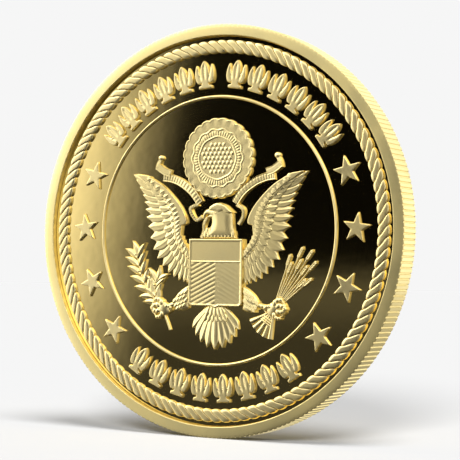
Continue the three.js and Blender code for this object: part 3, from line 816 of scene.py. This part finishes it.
def ear(foot, bearing):
    """An ear of grain: a core, pairs of grains up both sides, and one at the tip."""
    made = [feather(foot, foot + polar(1.45, bearing), 0.3, 0.16, 0.18, crown=0.03, root=0.4, belly=0.5)]
    for i in range(4):
        middle = foot + polar(0.22 + i * 0.24, bearing)
        for lean in (-20, 20):
            tip = middle + polar(0.42, bearing + lean)
            made.append(feather(middle, tip, 0.19, 0.19, 0.22, 0.02, 0.015, root=0.4, belly=0.5))
    end = foot + polar(0.98, bearing)
    made.append(feather(end, end + polar(0.5, bearing), 0.2, 0.2, 0.21, crown=0.02, root=0.4))
    return made


sheaf_parts = []
for i in list(range(1, STALKS, 2)) + list(range(0, STALKS, 2)):
    share = i / (STALKS - 1)
    bearing = SHEAF_LEAN - SHEAF_SPREAD * share
    length = 5.75 - 7 * (share - 0.45) ** 2 - (1.3 if i % 2 else 0)
    foot = TIE + np.array([0.3 * (share - 0.5), 0])
    line = foot + polar(length * np.linspace(0, 1, 6), bearing)
    sheaf_parts.append(rod(line, 0.07, 0.1, 0.15 if i % 2 else 0.18))
    sheaf_parts += ear(foot + polar(length - 0.15, bearing), bearing)
for i, bearing in enumerate(BUTTS):
    line = TIE + polar(2.75 * np.linspace(0, 1, 7), bearing)
    sheaf_parts.append(rod(line, np.linspace(0.1, 0.3, 7), 0.06, 0.26 - 0.02 * (i % 2)))
for step in (-0.22, 0, 0.22):
    middle = TIE + polar(1.25 + step, BUTTS[2])
    line = middle + polar(np.linspace(-0.62, 0.62, 9), BUTTS[2] - 90)
    sheaf_parts.append(rod(line, 0.12, 0.1, 0.2 + 0.14 * np.sin(np.linspace(0.25, 2.9, 9))))
central("bound_grain_sheaf", gathered(sheaf_parts), "grain_sheaf", crease=50)


# ======== Legs and feet ========
# Short feathered thighs come out from behind the shield; scaled shanks run out to feet that close
# round the sprig and the sheaf with knuckled toes and hooked claws.
TOES = [(75, -32, 1.6), (30, -34, 1.7), (-25, 30, 1.6), (-80, 34, 1.45), (150, 34, 1.2)]
ANKLE = np.array([SHIELD_HALF + 1.3, -7.05])
THIGH = [(0, -5.35), (0.55, -5.6), (1.3, -6.2), (1.72, -6.9), (1.4, -7.55), (0.7, -7.8), (0, -7.55)]


def toe(start, bearing, curl, length):
    """Three swelling knuckles and a claw, curling as they go."""
    made = []
    spot, heading = np.asarray(start, float), bearing
    for i in range(3):
        size = length * (0.3 - 0.035 * i)
        spot = spot + polar(size * 0.85, heading)
        made.append(boss(*spot, size * 0.75, size * 0.55, heading, 0.3, 0.5 - 0.02 * i, 12, 4))
        heading += curl
    line = [spot]
    for i in range(6):
        line.append(line[-1] + polar(length * 0.1, heading))
        heading += curl * 0.6
    made.append(rod(line, np.linspace(0.13, 0.025, 7), 0.2, np.linspace(0.44, 0.26, 7)))
    return made


def leg(foot):
    """The right-hand leg, down to a foot at this place: mirrored for the left."""
    hip = np.array([SHIELD_HALF + 0.05, 0])
    thigh = curve([hip + point for point in THIGH], 36)
    made = [struck(thigh, rounded(0.2, 0.42, 0.6), 0.14, bevel=0.08)]
    for row in range(4):
        for i in range(4):
            root = hip + np.array([0.12 + i * 0.36 + (row % 2) * 0.15, -5.75 - row * 0.42 - i * 0.16])
            if edge_distance(root[None], thigh)[0] > 0.1 and within(root[None], thigh)[0]:
                tip = root + polar(0.62, -50)
                made.append(feather(root, tip, 0.42, 0.37, 0.42, crown=0.04, quill=0.015))
    count = 25
    line = np.linspace(ANKLE, foot, count)
    scales = 0.02 * np.abs(np.sin(np.linspace(0, 6 * math.pi, count)))
    made.append(rod(line, 0.24 + scales, 0.12, 0.38 + scales))
    made.append(boss(*foot, 0.8, 0.66, 30, 0.22, 0.44, 20))
    for bearing, curl, length in TOES:
        made += toe(foot + polar(0.2, bearing), bearing, curl, length)
    return gathered(made)


central("clawed_leg_left", mirrored(leg(np.array([5.95, -7.65]))), "leg_left")
central("clawed_leg_right", leg(np.array([6.35, -7.45])), "leg_right")


# ======== Tail ========
# Nine broad tail feathers fan out below the shield, the middle one uppermost, from under a short
# row of coverts.
TAIL_ROOT = np.array([0, -6.4])
TAIL_SPREAD = 40  # degrees to each side
TAIL_PAD = [(1.4, -7.5), (2.3, -9.2), (0, -10.9), (-2.3, -9.2), (-1.4, -7.5)]
tail_parts = [struck(TAIL_PAD, flat_top(0.1), 0.5)]
for lean in sorted(np.linspace(-TAIL_SPREAD, TAIL_SPREAD, 9), key=lambda lean: -abs(lean)):
    outward = abs(lean) / TAIL_SPREAD
    start = TAIL_ROOT + polar(0.9, 270 + lean * 0.8)
    end = TAIL_ROOT + polar(5.1 - 1.1 * outward**1.5, 270 + lean)
    lift = 0.32 - 0.12 * outward
    turn = 0.02 * np.sign(lean)
    tail_parts.append(feather(start, end, 0.88, lift - 0.02, lift, 0.05, 0.03, turn, root=0.35, belly=0.75))
for row, (count, low) in enumerate(((6, -8.85), (5, -8.35))):
    for i in range(count):
        x = (i - (count - 1) / 2) * 0.46
        start, end = (x * 0.7, low + 0.95), (x * 1.1, low + 0.04 * x * x)
        lift = 0.3 + 0.03 * row
        tail_parts.append(feather(start, end, 0.56, lift, lift + 0.05, crown=0.05))
central("fanned_tail", gathered(tail_parts), "tail")


# ======== Medallion ========
# The round medallion over the bird's head: a scalloped rim of soft lobes, a waved cord with fine
# rays inside it, and a boss-studded centre laid out in offset rows.
MEDALLION_RADIUS = 3.9
MEDALLION_Y = 7.0
LOBES = 24
outline = []
for i in range(LOBES):
    for share in np.arange(8) / 8:
        inset = 0.17 * abs(2 * share - 1) ** 3
        outline.append(polar(MEDALLION_RADIUS - inset, (i + share) * 360 / LOBES))
seeds = [(u * 0.46 + (v % 2) * 0.23, v * 0.44) for v in range(-4, 5) for u in range(-4, 5)]
seeds = [spot for spot in seeds if math.hypot(*spot) < 1.75]


def medallion_top(x, y, edge):
    r, bearing = np.hypot(x, y), np.arctan2(y, x)
    rim = 0.33 + 0.03 * np.clip(edge / 0.06, 0, 1) - 0.02 * np.clip((edge - 0.1) / 0.06, 0, 1)
    lobes = 0.008 * np.abs(np.cos(bearing * LOBES / 2)) * np.clip((r - 3.0) / 0.5, 0, 1)
    inside = np.clip((2.95 - r) / 0.12, 0, 1)
    wave = 2.78 + 0.09 * np.cos(bearing * 14)
    cord = 0.045 * np.exp(-(((r - wave) / 0.07) ** 2))
    rays = 0.035 * np.abs(np.cos(bearing * 28)) * np.exp(-(((r - 2.4) / 0.22) ** 4))
    hoop = 0.05 * np.exp(-(((r - 2.06 - 0.03 * np.cos(bearing * 8)) / 0.06) ** 2))
    studs = np.zeros_like(r)
    for sx, sy in seeds:
        studs = np.maximum(studs, 1 - ((x - sx) ** 2 + (y - sy) ** 2) / 0.024)
    centre = 0.33 + cord + rays + hoop + 0.04 * np.sqrt(np.clip(studs, 0, 1))
    return (rim + lobes) * (1 - inside) + centre * inside


medallion = moved(struck(outline, medallion_top, 0.07, bevel=0.05), (DEVICE_SHIFT, MEDALLION_Y))
frosted("studded_medallion", medallion, "medallion", crease=60)


# ======== Ribbons ========
# A blank ribbon blown out behind the head on each side: a broad hemmed band, a folded-back end with
# a curled tip, and thin loose tails by the beak and neck. The cloth has fine cords across it.
BAND = [(1.95, 2.65), (2.8, 3.75), (4.05, 4.65), (5.2, 5.1), (6.2, 5.25)]
FOLD = [(5.35, 5.6), (6.1, 5.85), (6.85, 6.35)]
END = [(6.85, 6.0), (6.75, 6.6), (6.5, 7.1)]
LEFT_TAIL = [(2.15, 2.55), (3, 2.1), (2.4, 1.05), (1.72, 1.35)]
RIGHT_TAIL = [(2.15, 2.5), (2.85, 2.05), (2.8, 1.3), (2.35, 0.6)]
THROAT_TAIL = [(1.15, 1.3), (1.45, 0.6), (1.5, 0), (1.75, -0.72)]
HEMMED = np.array([-1, -0.93, -0.84, -0.72, -0.64, -0.3, 0, 0.3, 0.64, 0.72, 0.84, 0.93, 1])


def cloth(line, half, lift):
    """A strip of corded ribbon with a raised hem along both edges, swaying in height as it runs."""
    count = 65
    line = curve(line, count - 1)
    half = np.linspace(*half, count) if isinstance(half, tuple) else np.full(count, half)
    hem = 0.035 * (np.abs(np.abs(HEMMED) - 0.84) < 0.1) - 0.02 * (np.abs(HEMMED) > 0.99)
    cords = 0.018 * (np.arange(count) % 4 < 2)[:, None] * (np.abs(HEMMED) < 0.7)
    return blade(line, half, lift(np.linspace(0, 1, count))[:, None] + hem + cords, HEMMED)


def ribbon(tails):
    """The right-hand ribbon: mirrored for the left."""
    strips = [
        cloth(BAND, 0.4, lambda t: 0.22 + 0.07 * np.sin(t * 5.5 + 0.6)),
        cloth(FOLD, 0.36, lambda t: 0.2 + 0.12 * t),
        cloth(END, (0.27, 0.17), lambda t: 0.3 - 0.08 * t),
        boss(6.5, 7.15, 0.32, 0.27, 0, 0.18, 0.32, 16),
        boss(6.52, 7.15, 0.15, 0.12, 0, 0.3, 0.38, 12),
    ]
    for line, low in tails:
        strips.append(cloth(line, 0.17, lambda t, low=low: low + 0.06 * np.sin(t * 6)))
    return gathered(strips)


left_tails = [(LEFT_TAIL, 0.24), (THROAT_TAIL, 0.2)]
central("blank_ribbon_left", mirrored(ribbon(left_tails)), "ribbon_left", crease=50)
central("blank_ribbon_right", ribbon([(RIGHT_TAIL, 0.22)]), "ribbon_right", crease=50)


# ======== Reverse star ========
# The middle of the reverse: a large star of ten sloping facets that meet in sharp ridges.
REVERSE_STAR = 5.2
facet_rim = star_outline(REVERSE_STAR)
corners = [(x, y, FIELD + lift) for lift in (0.12, -SUNK) for x, y in facet_rim] + [(0, 0, FIELD + 0.42)]
facets = [(20, i, (i + 1) % 10) for i in range(10)]
facets += [((i + 1) % 10, i, 10 + i, 10 + (i + 1) % 10) for i in range(10)] + [tuple(range(19, 9, -1))]
frosted("faceted_star", (corners, facets), "reverse_star", "reverse", crease=5)


# ======== Reverse wreath ========
# Two laurel branches round the star, rising from either side of the bottom: paired leaves with
# midribs on round stems, and berries between them.
WREATH_RADIUS = 9.2
WREATH_LEAF = 2.6
WREATH_START = 8  # degrees off the bottom
WREATH_SWEEP = 132
PAIRS = 8


def wreath_branch(side):
    bearings = 270 + side * (WREATH_START + np.linspace(0, 1, 33) * WREATH_SWEEP)
    made = [rod(polar(WREATH_RADIUS, bearings), np.linspace(0.2, 0.11, 33), 0.05, 0.28)]
    for i in range(1, PAIRS + 1):
        bearing = 270 + side * (WREATH_START + i / PAIRS * WREATH_SWEEP)
        foot = polar(WREATH_RADIUS, bearing)
        heading = bearing + side * 90
        for lean in ((0,) if i == PAIRS else (-34, 34)):
            tip = foot + polar(WREATH_LEAF, heading + lean)
            bow = -0.05 * np.sign(lean)
            made.append(feather(foot, tip, WREATH_LEAF * 0.36, 0.16, 0.22, bow=bow, **RIBBED_LEAF))
        if i < PAIRS:
            made.append(boss(*(foot + polar(0.85, heading)), 0.2, 0.2, 0, 0.2, 0.36, 12, 4))
    return gathered(made)


frosted("laurel_left", wreath_branch(-1), "wreath_left", "reverse", crease=50)
frosted("laurel_right", wreath_branch(1), "wreath_right", "reverse", crease=50)


# ======== Studio ========
# A pale seamless table under a soft white dome. The coin itself mirrors a darker room: a tall
# softbox to its left, a dim ceiling, and pale walls behind it.
FLOOR_REACH = 1.5  # metres from the coin
DOME = 0.3  # what matt surfaces get from all round
BACKGROUND = 0.922  # what is seen behind the table
ROOM_TINT = (1.0, 0.96, 0.86, 1)
TABLE_LIGHTS = (  # bearing, height, strength, and apparent size in degrees
    ("high", 48, 65, 4.42, 28),
    ("low", 19, 27.7, 4.9, 18),
)
CAMERA_PLACE = Vector((75.4, -130.9, -4.3))
CAMERA_RIGHT = Vector((0.8699, 0.4929, 0.0165)).normalized()
CAMERA_AHEAD = Vector((-0.4932, 0.8694, 0.0291)).normalized()
CAMERA_LENS = 121.5

floor_mesh = bpy.data.meshes.new("studio_floor")
floor_corners = [(x * FLOOR_REACH, y * FLOOR_REACH, 0) for x, y in ((-1, -1), (1, -1), (1, 1), (-1, 1))]
floor_mesh.from_pydata(floor_corners, [], [(0, 1, 2, 3)])
floor = bpy.data.objects.new("studio_floor", floor_mesh)
bpy.context.scene.collection.objects.link(floor)
floor.location.z = ring_low.z
paper = bpy.data.materials.new("seamless_paper")
paper.use_nodes = True
tree = paper.node_tree
fibres = add(tree, "ShaderNodeTexNoise", Scale=400.0, Detail=4.0)
shade = mapped(tree, fibres.outputs[0], low=0.398, high=0.402)
matt = {"Base_Color": shade, "Roughness": 0.9, "Specular_IOR_Level": 0.0}
feed(tree, tree.nodes["Principled BSDF"], **matt)
floor_mesh.materials.append(paper)
floor.visible_glossy = False

world = bpy.data.worlds.new("studio")
bpy.context.scene.world = world
world.cycles.sampling_method = "NONE"
world.use_nodes = True
tree = world.node_tree
tree.nodes.clear()
where = add(tree, "ShaderNodeTexCoord").outputs["Generated"]
looking = add(tree, "ShaderNodeSeparateXYZ", Vector=where)
east, north, up = (looking.outputs[axis] for axis in "XYZ")
bearing = worked_out(tree, "ARCTAN2", east, worked_out(tree, "MULTIPLY", north, -1.0))


def ramp(value, start, end, low=0.0, high=1.0):
    """A smooth rise, or fall, of a value between two limits."""
    return mapped(tree, value, start, end, low, high, kind="SMOOTHSTEP")


def swing(angle, start, end, low=0.0, high=1.0):
    """A ramp of an angle between two limits in degrees."""
    return ramp(angle, math.radians(start), math.radians(end), low, high)


def combined(operation, values):
    made = values[0]
    for value in values[1:]:
        made = worked_out(tree, operation, made, value)
    return made


def product(*values):
    return combined("MULTIPLY", values)


def total(*values):
    return combined("ADD", values)


leaning = total(bearing, product(up, -0.15))
softbox = product(
    swing(leaning, -31.9, -38.6, 0.0, 1.78),
    swing(leaning, -37.0, -52.0, 1.0, 1.25),
    swing(bearing, -120, -90),
    ramp(up, -0.75, -0.3),
    ramp(up, -0.15, 0.05, 0.45, 1.0),
    ramp(up, 0.95, 0.7),
)
ceiling = product(ramp(up, 0.2, 0.5), 1.25)
right_wall = product(swing(bearing, -16, 22), ramp(north, 0.3, -0.1), ramp(up, -0.5, -0.1), 0.65)
corner_strip = product(swing(bearing, 22, 26), swing(bearing, 40, 35), ramp(up, -0.3, -0.1), 0.8)
back_wall = product(
    ramp(north, -0.05, 0.3),
    ramp(up, -0.42, -0.05, 0.25, 1.0),
    ramp(up, 0.12, 0.5, 1.0, 0.1),
    1.5,
)
table = product(ramp(up, 0.012, -0.008), ramp(north, 0.3, -0.1), 0.04)
horizon = product(ramp(up, 0.012, -0.005), ramp(up, -0.04, -0.015), ramp(north, 0.3, -0.1), 0.045)
room = total(softbox, ceiling, right_wall, corner_strip, back_wall, table, horizon, 0.003)


def backdrop(strength, color=(1, 1, 1, 1)):
    return add(tree, "ShaderNodeBackground", Color=color, Strength=strength).outputs[0]


def instead(ray, usual, special):
    """The usual backdrop, but the special one for this kind of ray."""
    path = add(tree, "ShaderNodeLightPath").outputs[ray]
    return add(tree, "ShaderNodeMixShader", i0=path, i1=usual, i2=special).outputs[0]


scattered = instead("Is Diffuse Ray", backdrop(room, ROOM_TINT), backdrop(DOME))
shown = instead("Is Camera Ray", scattered, backdrop(BACKGROUND))
add(tree, "ShaderNodeOutputWorld", Surface=shown)

for side, lamp_bearing, lamp_height, strength, spread in TABLE_LIGHTS:
    lamp = bpy.data.lights.new(f"table_light_{side}", "SUN")
    lamp.energy = strength
    lamp.angle = math.radians(spread)
    table_light = bpy.data.objects.new(f"table_light_{side}", lamp)
    bpy.context.scene.collection.objects.link(table_light)
    x, y = polar(math.cos(math.radians(lamp_height)), lamp_bearing - 90)
    aim = Vector((-x, -y, -math.sin(math.radians(lamp_height))))
    table_light.rotation_euler = aim.to_track_quat("-Z", "Y").to_euler()
    table_light.visible_glossy = False

camera = bpy.data.cameras.new("camera")
camera.sensor_width = 36
camera.lens = CAMERA_LENS
camera.clip_start = 0.005
camera.clip_end = 10
viewpoint = bpy.data.objects.new("camera", camera)
bpy.context.scene.collection.objects.link(viewpoint)
above = CAMERA_RIGHT.cross(CAMERA_AHEAD).normalized()
facing = Matrix((CAMERA_RIGHT, above, -CAMERA_AHEAD)).transposed().to_4x4()
viewpoint.matrix_world = Matrix.Translation(CAMERA_PLACE * MM) @ facing
bpy.context.scene.camera = viewpoint
bpy.context.scene.view_settings.view_transform = "Standard"
